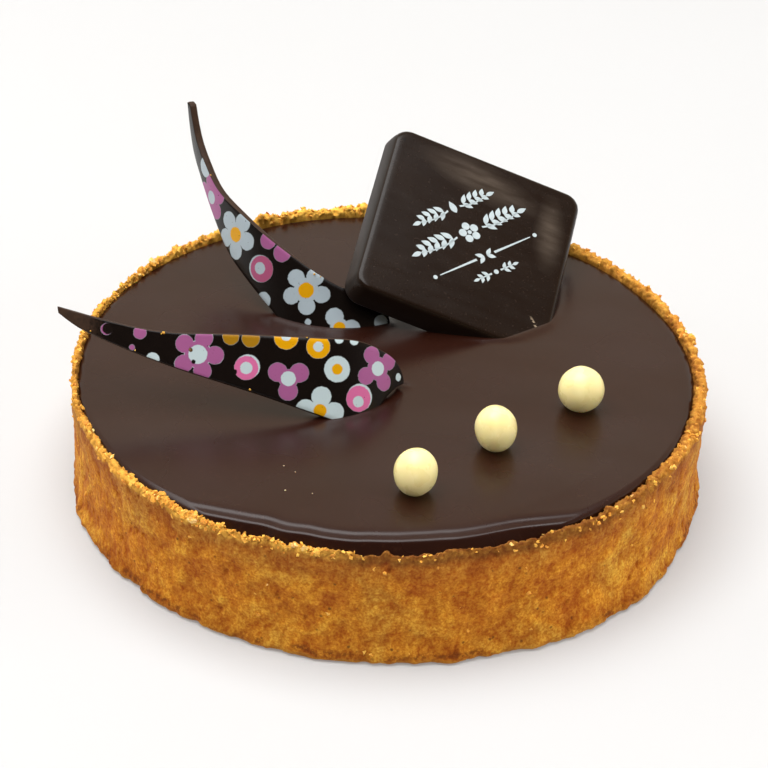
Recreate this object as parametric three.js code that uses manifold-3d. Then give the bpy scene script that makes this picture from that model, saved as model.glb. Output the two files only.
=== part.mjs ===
// A small round chocolate tart, 80 mm across. A baked shortcrust case holds a fill of set ganache. Two curled
// chocolate blades, a moulded chocolate plaque and three white chocolate pearls are pushed into the ganache.
// Millimetres, +Z up. The origin is the middle of the underside, and the front of the tart faces -Y.
import * as THREE from "three";
import { mergeVertices } from "three/addons/utils/BufferGeometryUtils.js";
import Module from "manifold-3d";

const wasm = await Module();
wasm.setup();

// The case: an 80 mm tart ring gives the outside, rolled pastry gives the walls.
const CASE_RADIUS = 40;
const CASE_HEIGHT = 15.5;
const FLOOR_THICKNESS = 2.6;
const WALL_FOOT_THICKNESS = 2.5;
const FOOT_FLARE = 0.45;
const WAIST_DEPTH = 0.35;
const PRESSED_SIDE = { angleDegrees: 155, depth: 0.45 }; // where the wall stands in a little
const RIM_TILT = 0.45; // the rim stands higher at the back, where the ganache stops short of it
const FRONT_SHOULDER = 0.7; // how far the worn front edge of the rim leans in
const CRAG_HEIGHT = 0.75;
const CASE_STEPS = 180;

// The fill of ganache. It swells above the rim at the front, and its edge rolls down to the pastry.
const GANACHE_RADIUS = 38.6;
const GANACHE_LEFT_SHIFT = 0.3; // the wall is thinner on the left than on the right
const GANACHE_TOP = 15.1;
const FRONT_SWELL = 0.5;
const EDGE_DROP = { back: 0.35, front: 0.95 };
const EDGE_WIDTH = { back: 0.9, front: 2.4 };
const GANACHE_STEPS = 100;

const GAP = 0.3; // left free all round each piece that is pushed into the ganache

// The moulded plaque: a square slab with rounded sides that leans back with one corner in the ganache.
// Each row of its side is [how far it stands out past the face's square, depth below the face].
const PLAQUE = {
  side: 25.8,
  thickness: 3.5,
  cornerRadius: 1.4,
  sideRows: [[-0.5, 0], [0.15, 0.15], [0.6, 0.7], [0.9, 1.7], [1, 3.2], [0.8, 3.5]],
  faceCentre: [10.35, 19.6, 22.8],
  turnDegrees: [26.5, 17.6, -11.9],
};

// The pearls: nearly round, each pressed lightly into the ganache.
const PEARL_PRESS = 0.3;
const PEARLS = [
  { name: "pearl_front", at: [3.5, -26.85], size: [5.2, 5.4, 5.9], leanDegrees: 8 },
  { name: "pearl_middle", at: [13.1, -16.95], size: [5.1, 5.4, 5.85], leanDegrees: -7 },
  { name: "pearl_right", at: [23.8, -7.6], size: [5.7, 5.6, 5.8], leanDegrees: 12 },
];
const PEARL_STEPS = [18, 11];

// The blades: cut from a thin sheet of chocolate while it was soft, and curled with it.
// Each edge is drawn on the flat sheet from heel to tip, as [along the curl, along the straight rulings].
const BLADE_THICKNESS = 0.95;
const BLADE_STATIONS = 32;
const BLADE_ACROSS = 4;
const BLADES = [
  {
    name: "blade_front",
    neutralPoint: [-22, -10.07, 19.8], // where the sheet's curl begins
    leanDegrees: 56.65,
    slewDegrees: 0,
    curlSide: 1,
    curlDegrees: 80,
    curlLength: 29,
    curlPower: 2.5,
    backRadius: Infinity,
    topEdge: [
      [26.3, 0.15], [25.5, 1.15], [24, 2.35], [22.1, 3.4], [18.3, 4.65],
      [12.9, 4.85], [3.8, 5], [-5.3, 5.05], [-11.4, 6], [-18.5, 7.75],
    ],
    lowEdge: [
      [26.3, -0.25], [24.3, -0.7], [22.4, -2.2], [20.9, -4], [18.4, -6], [15.2, -4.9],
      [6.4, -2.1], [-3.9, 0.9], [-10.1, 3.05], [-15.4, 5.25], [-18.4, 7.2],
    ],
  },
  {
    name: "blade_rear",
    neutralPoint: [-6.76, 9.18, 14.67],
    leanDegrees: 56.65,
    slewDegrees: 13.6,
    curlSide: -1,
    curlDegrees: 80,
    curlLength: 19.5,
    curlPower: 1,
    backRadius: 18,
    topEdge: [
      [-6.9, 1.3], [-4.6, 4.2], [-1.5, 5.4], [2.2, 9], [5.8, 13],
      [9.5, 17.35], [13, 21.4], [14.7, 25], [15.9, 29], [15.6, 33.3],
    ],
    lowEdge: [
      [-6.9, -0.9], [-3.5, -2.6], [2, -2.1], [6, 1], [8.1, 4.7], [10.5, 8.4],
      [13.6, 13.3], [15.5, 18.4], [17.1, 23.8], [17.9, 28], [16.2, 33.8],
    ],
  },
];

const PASTRY = new THREE.MeshStandardMaterial({ color: 0xb8742c, roughness: 0.85, metalness: 0 });
const GANACHE = new THREE.MeshStandardMaterial({ color: 0x3a211c, roughness: 0.28, metalness: 0 });
const DARK_CHOCOLATE = new THREE.MeshStandardMaterial({ color: 0x2b1a16, roughness: 0.35, metalness: 0 });
const WHITE_CHOCOLATE = new THREE.MeshStandardMaterial({ color: 0xf1e7b4, roughness: 0.3, metalness: 0 });

const radians = THREE.MathUtils.degToRad;
const mix = THREE.MathUtils.lerp;
const FULL_TURN = 2 * Math.PI;

// Random numbers from 0 to 1 that come out the same each time for one seed.
function seededRandom(seed) {
  let state = seed >>> 0;
  return () => {
    state = (state + 0x6d2b79f5) >>> 0;
    let t = Math.imul(state ^ (state >>> 15), 1 | state);
    t = (t + Math.imul(t ^ (t >>> 7), 61 | t)) ^ t;
    return ((t ^ (t >>> 14)) >>> 0) / 4294967296;
  };
}

// Smooth unevenness from -1 to 1 over a round wall: knots around the tart, and rows of knots up the wall.
function unevenness(seed, around, rows = 1) {
  const random = seededRandom(seed);
  const knots = Array.from({ length: rows + 1 }, () => Array.from({ length: around }, () => 2 * random() - 1));
  const ease = (t) => t * t * (3 - 2 * t);
  return (angle, share = 0) => {
    const a = (((angle / FULL_TURN) % 1) + 1) % 1 * around;
    const i = Math.floor(a);
    const row = Math.min(rows - 1, Math.floor(share * rows));
    const along = (k) => mix(knots[k][i % around], knots[k][(i + 1) % around], ease(a - i));
    return mix(along(row), along(row + 1), ease(share * rows - row));
  };
}

// A closed skin through a row of rings with equal counts of points, with a flat fan over each end.
function loft(rings) {
  const count = rings[0].length;
  const centre = (ring) => ring.reduce((sum, p) => sum.add(p), new THREE.Vector3()).divideScalar(count);
  const points = [...rings.flat(), centre(rings[0]), centre(rings.at(-1))];
  const firstCentre = points.length - 2;
  const lastCentre = points.length - 1;
  const faces = [];
  for (let j = 0; j < count; j++) {
    const next = (j + 1) % count;
    faces.push([firstCentre, next, j]);
    for (let i = 0; i + 1 < rings.length; i++) {
      const low = i * count;
      const high = low + count;
      faces.push([low + j, low + next, high + j], [low + next, high + next, high + j]);
    }
    const top = (rings.length - 1) * count;
    faces.push([lastCentre, top + j, top + next]);
  }
  const volume = faces.reduce((sum, [a, b, c]) => sum + points[a].dot(points[b].clone().cross(points[c])), 0);
  const outward = volume > 0 ? faces : faces.map(([a, b, c]) => [a, c, b]);
  return new THREE.BufferGeometry().setFromPoints(points).setIndex(outward.flat());
}

function roundRing(steps, radiusAt, heightAt) {
  return Array.from({ length: steps }, (_, j) => {
    const angle = (FULL_TURN * j) / steps;
    const radius = radiusAt(angle);
    return new THREE.Vector3(radius * Math.cos(angle), radius * Math.sin(angle), heightAt(angle));
  });
}

// How far a direction faces the front, from 0 at the sides and back to 1 at the front.
const frontShare = (angle) => Math.max(0, -Math.sin(angle)) ** 2;

const edgeWander = unevenness(5, 26);
const ganacheRadius = (angle) =>
  GANACHE_RADIUS - GANACHE_LEFT_SHIFT * Math.cos(angle) + 0.12 * edgeWander(angle);
const ganacheTop = (y) => GANACHE_TOP + FRONT_SWELL * THREE.MathUtils.smoothstep(-y, 8, 34);
const edgeDrop = (angle) => mix(EDGE_DROP.back, EDGE_DROP.front, frontShare(angle));
const edgeWidth = (angle) => mix(EDGE_WIDTH.back, EDGE_WIDTH.front, frontShare(angle));

// The height of the ganache at an angle and a distance in from its edge, where the edge is a quarter ellipse.
function ganacheHeight(angle, inward) {
  const rest = Math.max(0, 1 - inward / edgeWidth(angle));
  const top = ganacheTop((ganacheRadius(angle) - inward) * Math.sin(angle));
  return top - edgeDrop(angle) * (1 - Math.sqrt(1 - rest * rest));
}

// The pastry case, from the middle of its underside out, up the wall, over the crumbly rim and down inside.
function pastryCase() {
  const slowWall = unevenness(11, 22, 2);
  const fastWall = unevenness(12, 96, 6);
  const slowRim = unevenness(13, 34);
  const crags = unevenness(14, 108);
  const footEdge = unevenness(15, 70);
  const rimTop = (a) =>
    CASE_HEIGHT + RIM_TILT * Math.sin(a) + 0.18 * slowRim(a) + CRAG_HEIGHT * Math.max(0, crags(a)) ** 2;
  const wallRadius = (a, share) =>
    CASE_RADIUS -
    WAIST_DEPTH * Math.sin(Math.PI * Math.min(1, share * 1.05)) -
    PRESSED_SIDE.depth * Math.max(0, Math.cos(a - radians(PRESSED_SIDE.angleDegrees))) ** 8 +
    FOOT_FLARE * Math.exp(-((share / 0.1) ** 2)) * (1 + 0.6 * footEdge(a)) -
    FRONT_SHOULDER * frontShare(a) * THREE.MathUtils.smoothstep(share, 0.82, 1.02) +
    0.22 * slowWall(a, share) +
    0.16 * fastWall(a, share);
  const innerTop = (a) => ganacheRadius(a) + GAP;
  const rings = [roundRing(CASE_STEPS, (a) => wallRadius(a, 0) - 1.1, () => 0)];
  const wallRows = [0.03, 0.09, 0.18, 0.3, 0.42, 0.54, 0.66, 0.78, 0.88];
  for (const share of wallRows) {
    rings.push(roundRing(CASE_STEPS, (a) => wallRadius(a, share), (a) => share * rimTop(a)));
  }
  const rimRows = [[0.97, 0], [1, 0.45], [0.985, 0.9]]; // [share of the height, share of the way in]
  for (const [share, inward] of rimRows) {
    rings.push(
      roundRing(CASE_STEPS, (a) => mix(wallRadius(a, share), innerTop(a), inward), (a) => share * rimTop(a)),
    );
  }
  const innerFoot = CASE_RADIUS - WALL_FOOT_THICKNESS;
  rings.push(roundRing(CASE_STEPS, innerTop, (a) => ganacheHeight(a, 0) - 0.2));
  rings.push(roundRing(CASE_STEPS, () => innerFoot, () => FLOOR_THICKNESS));
  return loft(rings);
}

// The ganache, from its foot on the pastry floor up to its edge and over its top.
function ganacheFill() {
  const foot = CASE_RADIUS - WALL_FOOT_THICKNESS - GAP;
  const rows = [0, 0.04, 0.14, 0.35, 0.65, 1].map((share) => (a) => share * edgeWidth(a));
  rows.push(() => 7, () => 13, () => 20, () => 28);
  return loft([
    roundRing(GANACHE_STEPS, () => foot, () => FLOOR_THICKNESS + GAP),
    ...rows.map((inward) =>
      roundRing(GANACHE_STEPS, (a) => ganacheRadius(a) - inward(a), (a) => ganacheHeight(a, inward(a))),
    ),
  ]);
}

// The curl of a blade's sheet: the point and the heading of its section at a distance along it.
function curlAt(blade, distance) {
  const heading = (s) =>
    s > 0 ? radians(blade.curlDegrees) * (s / blade.curlLength) ** blade.curlPower : s / blade.backRadius;
  const steps = Math.ceil(Math.abs(distance) / 0.5) + 1;
  const step = distance / steps;
  let across = 0;
  let depth = 0;
  for (let i = 0; i < steps; i++) {
    const middle = heading((i + 0.5) * step);
    across += step * Math.cos(middle);
    depth -= step * Math.sin(middle);
  }
  return { across, depth, heading: heading(distance) };
}

// A blade in its sheet's own axes: x across the curl, y along the rulings, z out of the printed side.
function bladeShape(blade, grow = 0) {
  const edge = (list) => new THREE.SplineCurve(list.map((p) => new THREE.Vector2(...p))).getSpacedPoints(BLADE_STATIONS);
  const top = edge(blade.topEdge);
  const low = edge(blade.lowEdge);
  const skin = (flat, height) => {
    const { across, depth, heading } = curlAt(blade, flat.x);
    const x = blade.curlSide * (across + height * Math.sin(heading));
    return new THREE.Vector3(x, flat.y, depth + height * Math.cos(heading));
  };
  const half = BLADE_THICKNESS / 2 + grow;
  const stations = top.map((upper, k) => {
    const outward = upper.clone().sub(low[k]).setLength(2 * grow); // doubled, as the edges run at a slant
    return [low[k].clone().sub(outward), upper.clone().add(outward)];
  });
  if (grow > 0) {
    const pastHeel = top[0].clone().sub(top[3]).setLength(2 * grow);
    stations.unshift(stations[0].map((p) => p.clone().add(pastHeel)));
  }
  const rings = stations.map(([from, to]) => {
    const across = Array.from({ length: BLADE_ACROSS + 1 }, (_, j) => from.clone().lerp(to, j / BLADE_ACROSS));
    return [...across.map((p) => skin(p, half)), ...across.reverse().map((p) => skin(p, -half))];
  });
  return loft(rings);
}

// The outline of a square with round corners, at one height.
function roundedSquare(side, cornerRadius, height) {
  const stepsInCorner = 6;
  const reach = side / 2 - cornerRadius;
  const points = [];
  for (let corner = 0; corner < 4; corner++) {
    for (let i = 0; i <= stepsInCorner; i++) {
      const angle = (corner + i / stepsInCorner) * (Math.PI / 2);
      const cx = corner === 0 || corner === 3 ? reach : -reach;
      const cy = corner < 2 ? reach : -reach;
      points.push(
        new THREE.Vector3(cx + cornerRadius * Math.cos(angle), cy + cornerRadius * Math.sin(angle), height),
      );
    }
  }
  return points;
}

// The plaque in its own axes, with its face at z = 0 and its back below.
function plaqueShape(grow = 0) {
  const { side, thickness, cornerRadius, sideRows } = PLAQUE;
  return loft(
    sideRows.map(([out, depth]) =>
      roundedSquare(side + 2 * (out + grow), cornerRadius + grow, grow * (1 - (2 * depth) / thickness) - depth),
    ),
  );
}

function pearlShape(size, grow = 0) {
  return new THREE.SphereGeometry(0.5, ...PEARL_STEPS).scale(...size.map((d) => d + 2 * grow));
}

// A shape as a manifold solid, in the place that its mesh gives it.
function solidInPlace(shape, mesh) {
  mesh.updateMatrix();
  const bare = shape.clone().applyMatrix4(mesh.matrix);
  bare.deleteAttribute("normal");
  bare.deleteAttribute("uv");
  const merged = mergeVertices(bare, 1e-4);
  return new wasm.Manifold(
    new wasm.Mesh({
      numProp: 3,
      vertProperties: new Float32Array(merged.attributes.position.array),
      triVerts: new Uint32Array(merged.index.array),
    }),
  );
}

function geometryOf(solid) {
  const mesh = solid.getMesh();
  return new THREE.BufferGeometry()
    .setAttribute("position", new THREE.BufferAttribute(mesh.vertProperties, 3))
    .setIndex(new THREE.BufferAttribute(mesh.triVerts, 1));
}

function namedMesh(name, shape, material, position = [0, 0, 0], turnDegrees = [0, 0, 0]) {
  const mesh = new THREE.Mesh(shape, material);
  mesh.name = name;
  mesh.position.set(...position);
  mesh.rotation.set(...turnDegrees.map(radians));
  return mesh;
}

// What is pushed into the ganache: each mesh, with the slightly larger shape of the hollow that it needs.
const toppings = [
  ...BLADES.map((blade) => ({
    mesh: namedMesh(blade.name, bladeShape(blade), DARK_CHOCOLATE, blade.neutralPoint, [
      blade.leanDegrees,
      0,
      blade.slewDegrees,
    ]),
    hollow: bladeShape(blade, GAP),
  })),
  {
    mesh: namedMesh("plaque", plaqueShape(), DARK_CHOCOLATE, PLAQUE.faceCentre, PLAQUE.turnDegrees),
    hollow: plaqueShape(GAP),
  },
  ...PEARLS.map((pearl) => {
    const height = ganacheTop(pearl.at[1]) + pearl.size[2] / 2 - PEARL_PRESS;
    const turn = [0, pearl.leanDegrees, 0];
    return {
      mesh: namedMesh(pearl.name, pearlShape(pearl.size), WHITE_CHOCOLATE, [...pearl.at, height], turn),
      hollow: pearlShape(pearl.size, GAP),
    };
  }),
];

let fill = solidInPlace(ganacheFill(), new THREE.Object3D());
for (const { mesh, hollow } of toppings) {
  fill = fill.subtract(solidInPlace(hollow, mesh));
}

const tart = new THREE.Group();
tart.name = "chocolate_tart";
tart.add(namedMesh("pastry_case", pastryCase(), PASTRY));
tart.add(namedMesh("ganache", geometryOf(fill), GANACHE));
tart.add(...toppings.map(({ mesh }) => mesh));

export default tart;
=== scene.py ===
import math

import bmesh
import bpy
import numpy as np
from mathutils import Matrix, Vector, noise
from mathutils.bvhtree import BVHTree


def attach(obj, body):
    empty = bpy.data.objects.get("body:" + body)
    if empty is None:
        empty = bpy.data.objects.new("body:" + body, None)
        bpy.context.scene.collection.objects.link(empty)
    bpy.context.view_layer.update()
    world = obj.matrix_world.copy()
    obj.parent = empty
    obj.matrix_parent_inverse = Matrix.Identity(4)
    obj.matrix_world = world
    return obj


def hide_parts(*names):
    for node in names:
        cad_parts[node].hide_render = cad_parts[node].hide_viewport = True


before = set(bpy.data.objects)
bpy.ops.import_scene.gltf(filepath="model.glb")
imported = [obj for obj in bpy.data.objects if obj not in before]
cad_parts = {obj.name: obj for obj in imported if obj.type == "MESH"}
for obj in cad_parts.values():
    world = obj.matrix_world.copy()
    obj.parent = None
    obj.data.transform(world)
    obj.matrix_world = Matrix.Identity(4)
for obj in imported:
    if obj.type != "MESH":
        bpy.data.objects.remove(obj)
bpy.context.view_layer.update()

MM = 0.001


# The table: a matt white board under one large soft light a little behind the tart, in a pale room
# that is dimmer on the camera's side. The tart stands straight on it, and the camera looks down at
# it through a long lens, tipped a degree and a half, as in the photograph.
def linear(hex_colour):
    """An sRGB hex colour as the linear values that a shader takes."""
    parts = [int(hex_colour[i : i + 2], 16) / 255 for i in (1, 3, 5)]
    return tuple(p / 12.92 if p <= 0.04045 else ((p + 0.055) / 1.055) ** 2.4 for p in parts) + (1.0,)


def node(tree, kind, inputs=(), stops=(), **settings):
    """Adds a node with its settings: a word after its kind is its operation, or a Mix's data type. Its inputs, by
    name or in the order that it shows them, are values, hex colours, or nodes to link from, where a node stands
    for the first output that it shows, and a kind with its inputs for a node made on the spot. Inputs past its
    last go into more nodes like it, one after the other. The stops are a colour ramp's, from its low end up."""
    kind, _, mode = kind.partition(" ")
    new = tree.nodes.new(kind if "Node" in kind else "ShaderNode" + kind)
    if mode:
        setattr(new, "data_type" if kind == "Mix" else "operation", mode)
    for name, value in settings.items():
        setattr(new, name, value)
    for k, (position, colour) in enumerate(stops):
        stop = new.color_ramp.elements[k] if k < 2 else new.color_ramp.elements.new(position)
        stop.position, stop.color = position, linear(colour) if isinstance(colour, str) else (*colour, 1)
    by_name = isinstance(inputs, dict)
    shown = new.inputs if by_name else [socket for socket in new.inputs if socket.enabled]
    for key, value in inputs.items() if by_name else enumerate(inputs[: len(shown)]):
        if isinstance(value, tuple) and isinstance(value[0], str):
            value = node(tree, *value)
        if isinstance(value, bpy.types.Node):
            value = next(socket for socket in value.outputs if socket.enabled)
        if isinstance(value, bpy.types.NodeSocket):
            tree.links.new(value, shown[key])
        else:
            shown[key].default_value = linear(value) if str(value).startswith("#") else value
    for value in () if by_name else inputs[len(shown) :]:
        new = node(tree, f"{kind} {mode}", [new, value], **settings)
    return new


def finish_named(name):
    """A new material, its empty node tree, and in it the places on the object."""
    finish = bpy.data.materials.new(name)
    finish.use_nodes = True
    finish.node_tree.nodes.clear()
    return finish, finish.node_tree, node(finish.node_tree, "TexCoord").outputs["Object"]


def put(name, mesh, finish):
    """A smooth-shaded object with that mesh and finish, at the origin."""
    made = bpy.data.objects.new(name, mesh)
    bpy.context.scene.collection.objects.link(made)
    mesh.materials.clear()
    mesh.materials.append(finish)
    mesh.shade_smooth()
    return made


# Light board: a dead matt white sheet with a faint unevenness, lit through from below, so shadows on it
# stay pale.
board_finish, tree, where = finish_named("matt_white_painted_board")
white = node(tree, "Mix RGBA", [("TexNoise", [where, 9, 2]), "#A8A8A7", "#ACACAC"])
node(tree, "OutputMaterial", [("BsdfPrincipled", {
    "Base Color": white, "Roughness": 0.9, "Specular IOR Level": 0.1, "Emission Color": "#FDFDFF",
    "Emission Strength": 0.21})])
half_board = 3.0
board_mesh = bpy.data.meshes.new("table_board")
board_mesh.from_pydata([(x * half_board, y * half_board, -0.00005) for x, y in ((-1, -1), (1, -1), (1, 1), (-1, 1))],
                       [], [(0, 1, 2, 3)])
put("table_board", board_mesh, board_finish)

# The room: a pale band round the horizon, warm walls above it, a dim ceiling, and little light from the
# camera's side. The ganache mirrors the walls, which gives it its warm grey shine.
world = bpy.data.worlds.new("pale_room")
bpy.context.scene.world = world
world.use_nodes = True
tree = world.node_tree
tree.nodes.clear()
toward = node(tree, "SeparateXYZ", [node(tree, "TexCoord").outputs["Generated"]])
upward = node(tree, "ValToRGB", [toward.outputs["Z"]], stops=(
    (0, (0.82, 0.78, 0.73)), (0.42, (0.83, 0.79, 0.74)), (0.5, (0.84, 0.84, 0.7)), (0.545, (0.8, 0.6, 0.39)),
    (0.6, (0.62, 0.46, 0.31)), (0.68, (0.42, 0.34, 0.26)), (0.78, (0.22, 0.19, 0.17)), (1, (0.13, 0.13, 0.13))))
backward = node(tree, "MapRange", [toward.outputs["Y"], -0.7, 0.35, 0.1])
node(tree, "OutputWorld", {"Surface": ("Background", {"Color": upward, "Strength": backward})})

# The large soft light over the tart, a weak one on either side, and a low one in front for the wall.
lights = {}
for name, place, size, power in (
    ("overhead_soft_light", (-0.06, 0.02, 0.5), 0.5, 3.05),
    ("left_soft_light", (-0.75, -0.02, 0.26), 0.4, 1.6),
    ("right_soft_light", (0.75, -0.2, 0.24), 0.4, 2.6),
    ("low_front_soft_light", (-0.05, -0.95, 0.08), 0.5, 1.8),
):
    lamp = bpy.data.lights.new(name, "AREA")
    lamp.size = size
    lamp.energy = power
    light = bpy.data.objects.new(name, lamp)
    light.location = place
    light.rotation_euler = (Vector((0, 0, 0.01)) - Vector(place)).to_track_quat("-Z", "Y").to_euler()
    light.visible_camera = False
    light.visible_glossy = name not in ("left_soft_light", "right_soft_light")  # the chocolate's sides have no shine
    bpy.context.scene.collection.objects.link(light)
    lights[name] = light
# The low light stands for the glow of the table in front: the wall and the pearls have it, but not the
# ganache, which would mirror it, nor the dark toppings.
by_the_table = bpy.data.collections.new("lit_by_the_table")
lights["low_front_soft_light"].light_linking.receiver_collection = by_the_table
by_the_table.objects.link(bpy.data.objects["table_board"])

down, roll = math.radians(33.35), math.radians(1.64)
forward = Vector((0, math.cos(down), -math.sin(down)))
level_right, level_up = Vector((1, 0, 0)), Vector((0, math.sin(down), math.cos(down)))
right = level_right * math.cos(roll) + level_up * math.sin(roll)
up = level_up * math.cos(roll) - level_right * math.sin(roll)
lens = bpy.data.cameras.new("long_lens")
lens.sensor_fit, lens.sensor_width, lens.lens = "HORIZONTAL", 36, 121.875
lens.clip_start, lens.clip_end = 0.01, 20
camera = bpy.data.objects.new("camera", lens)
camera.matrix_world = Matrix.Translation((-0.0005, -0.2751, 0.1937)) @ (
    Matrix((right, up, -forward)).transposed().to_4x4())
bpy.context.scene.collection.objects.link(camera)
bpy.context.scene.camera = camera
bpy.context.scene.view_settings.view_transform = "Standard"


# The pastry case: sweet shortcrust, pressed into a ring, baked golden and lifted off, so its wall is
# nearly upright, its foot a little ragged and its thin rim crumbled. Crumbs cling along the rim.
CASE_RADIUS, CASE_HEIGHT, FLOOR_THICKNESS, WALL_FOOT_THICKNESS = 40, 15.5, 2.6, 2.5
CASE_STEPS = 1300
GANACHE_RADIUS, GANACHE_TOP = 38.6, 15.1


def seeded_random(seed):
    """Numbers from 0 to 1 that come out the same each time for one seed, as in the part's source."""
    full, state = 0xFFFFFFFF, [seed & 0xFFFFFFFF]

    def draw():
        state[0] = (state[0] + 0x6D2B79F5) & full
        t = ((state[0] ^ (state[0] >> 15)) * (1 | state[0])) & full
        t = ((t + ((t ^ (t >> 7)) * (61 | t) & full)) & full) ^ t
        return ((t ^ (t >> 14)) & full) / 4294967296

    return draw


def unevenness(seed, around, rows=1):
    """Smooth unevenness from -1 to 1 over a round wall, from knots around it and up it."""
    draw = seeded_random(seed)
    knots = np.array([[2 * draw() - 1 for _ in range(around)] for _ in range(rows + 1)])

    def at(angle, share=0.0):
        a = (np.asarray(angle) / math.tau) % 1 * around
        i = np.floor(a).astype(int) % around
        t = a - np.floor(a)
        t = t * t * (3 - 2 * t)
        row = min(rows - 1, math.floor(share * rows))
        u = share * rows - row
        u = u * u * (3 - 2 * u)
        low, high = (knots[k][i] * (1 - t) + knots[k][(i + 1) % around] * t for k in (row, row + 1))
        return low * (1 - u) + high * u

    return at


def smoothstep(value, low, high):
    t = np.clip((value - low) / (high - low), 0, 1)
    return t * t * (3 - 2 * t)


def front_share(angle):
    return np.maximum(0, -np.sin(angle)) ** 2


edge_wander = unevenness(5, 26)


def ganache_radius(angle):
    return GANACHE_RADIUS - 0.3 * np.cos(angle) + 0.12 * edge_wander(angle)


def ganache_height(angle, inward):
    """The ganache's height at an angle and a distance in from its edge, in mm."""
    front = front_share(angle)
    width, drop = 0.9 + 1.5 * front, 0.35 + 0.6 * front
    rest = np.maximum(0, 1 - inward / width)
    swell = 0.5 * smoothstep(-(ganache_radius(angle) - inward) * np.sin(angle), 8, 34)
    return GANACHE_TOP + swell - drop * (1 - np.sqrt(1 - rest * rest))


def skin(name, rings):
    """A closed mesh through a row of rings with equal counts of points in mm, with a fan over each end."""
    rings = np.asarray(rings, float)
    rows, count = rings.shape[:2]
    points = np.vstack([rings.reshape(-1, 3), rings[[0, -1]].mean(axis=1)]) * MM
    j = np.arange(count)
    after = (j + 1) % count
    top = (rows - 1) * count
    faces = [list(f) for f in zip(np.full(count, rows * count).tolist(), after.tolist(), j.tolist())]
    for low in range(0, top, count):
        faces += np.stack([low + j, low + after, low + count + after, low + count + j], 1).tolist()
    faces += np.stack([np.full(count, rows * count + 1), top + j, top + after], 1).tolist()
    corners = np.array([[f[0], f[k], f[k + 1]] for f in faces for k in range(1, len(f) - 1)])
    a, b, c = (points[corners[:, k]] for k in range(3))
    if np.einsum("ij,ij->i", a, np.cross(b, c)).sum() < 0:
        faces = [f[::-1] for f in faces]
    mesh = bpy.data.meshes.new(name)
    mesh.from_pydata(points.tolist(), [], faces)
    return mesh


def store(mesh, name, values):
    """Keeps one number for each point of a mesh, for its nodes to read."""
    mesh.attributes.new(name, "FLOAT", "POINT").data.foreach_set("value", np.asarray(values, np.float32))


def grown(source, tree, sizes):
    """What a Geometry Nodes tree makes of an object, with its named inputs set, as a plain mesh."""
    modifier = source.modifiers.new("growth", "NODES")
    modifier.node_group = tree
    for item in tree.interface.items_tree:
        if item.item_type == "SOCKET" and item.in_out == "INPUT" and item.name in sizes:
            modifier[item.identifier] = sizes[item.name]
    graph = bpy.context.evaluated_depsgraph_get()
    mesh = bpy.data.meshes.new_from_object(source.evaluated_get(graph))
    source.modifiers.remove(modifier)
    return mesh


def new_group(name, kind, given, made):
    """A new group of shader or geometry nodes, with types for its inputs and outputs, and what it is given."""
    tree = bpy.data.node_groups.new(name, kind + "NodeTree")
    for in_out, sockets in (("INPUT", given), ("OUTPUT", made)):
        for socket, value in sockets.items():
            tree.interface.new_socket(socket, in_out=in_out, socket_type="NodeSocket" + value)
    return tree, node(tree, "NodeGroupInput").outputs


slow_wall, fast_wall, foot_edge = unevenness(11, 22, 2), unevenness(12, 96, 6), unevenness(15, 70)
slow_rim, crags, torn_foot = unevenness(13, 34), unevenness(14, 108), unevenness(19, 260)
angle = np.linspace(0, math.tau, CASE_STEPS, endpoint=False)
rim_top = (CASE_HEIGHT + 0.45 * np.sin(angle) + 0.18 * slow_rim(angle) + 0.6 * np.maximum(0, crags(angle)) ** 2
           + 0.22 * unevenness(16, 270)(angle) + 0.15 * unevenness(17, 420)(angle))
# How freshly broken the rim is round the case (bright crumbs, with a painted highlight added along the back
# where the crest faces the light), and how far chocolate has stained it.
turned_to = np.degrees(angle)
fresh_and_highlit_round = np.interp(turned_to, [0, 40, 70, 110, 150, 180, 205, 225, 258, 266, 300, 318, 335, 360],
                        [0.25, 0.5, 1.2, 1.3, 1, 0.5, 0.55, 0.8, 0.9, 0.3, 0.12, 0.25, 0.3, 0.25])
fresh_and_highlit_round *= 0.75 + 0.25 * unevenness(18, 60)(angle)
stain_round = np.interp(turned_to, [215, 235, 258, 268, 300, 318, 335], [0, 0.2, 0.3, 0.95, 1, 0.7, 0])
inner_stain = np.interp(turned_to, [15, 45, 140, 165], [0.75, 0.1, 0.1, 0.75])


def wall_radius(share):
    return (
        CASE_RADIUS
        - 0.35 * math.sin(math.pi * min(1, share * 1.05))
        - 0.45 * np.maximum(0, np.cos(angle - math.radians(155))) ** 8
        + 0.45 * math.exp(-((share / 0.1) ** 2)) * (1 + 0.6 * foot_edge(angle) + 0.4 * torn_foot(angle))
        - 0.7 * front_share(angle) * smoothstep(share, 0.82, 1.02)
        + 0.95 * np.exp(-(((angle - math.radians(310)) / math.radians(15)) ** 2)) * math.exp(-((share / 0.45) ** 2))
        + 0.3 * front_share(angle) * math.exp(-((share / 0.3) ** 2))
        + 0.22 * slow_wall(angle, share)
        + 0.16 * fast_wall(angle, share)
    )


case_rows = []


def case_row(radius, height, rim, stain, relief):
    """Adds a ring to the case, in mm, with how far from 0 to 1 it is rim, stained and rough."""
    ring = np.stack([radius * np.cos(angle), radius * np.sin(angle), height + 0 * angle], 1)
    case_rows.append((ring, rim * (1 - 0.5 * stain_round), rim * fresh_and_highlit_round, stain + 0 * angle, relief + 0 * angle))


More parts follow.
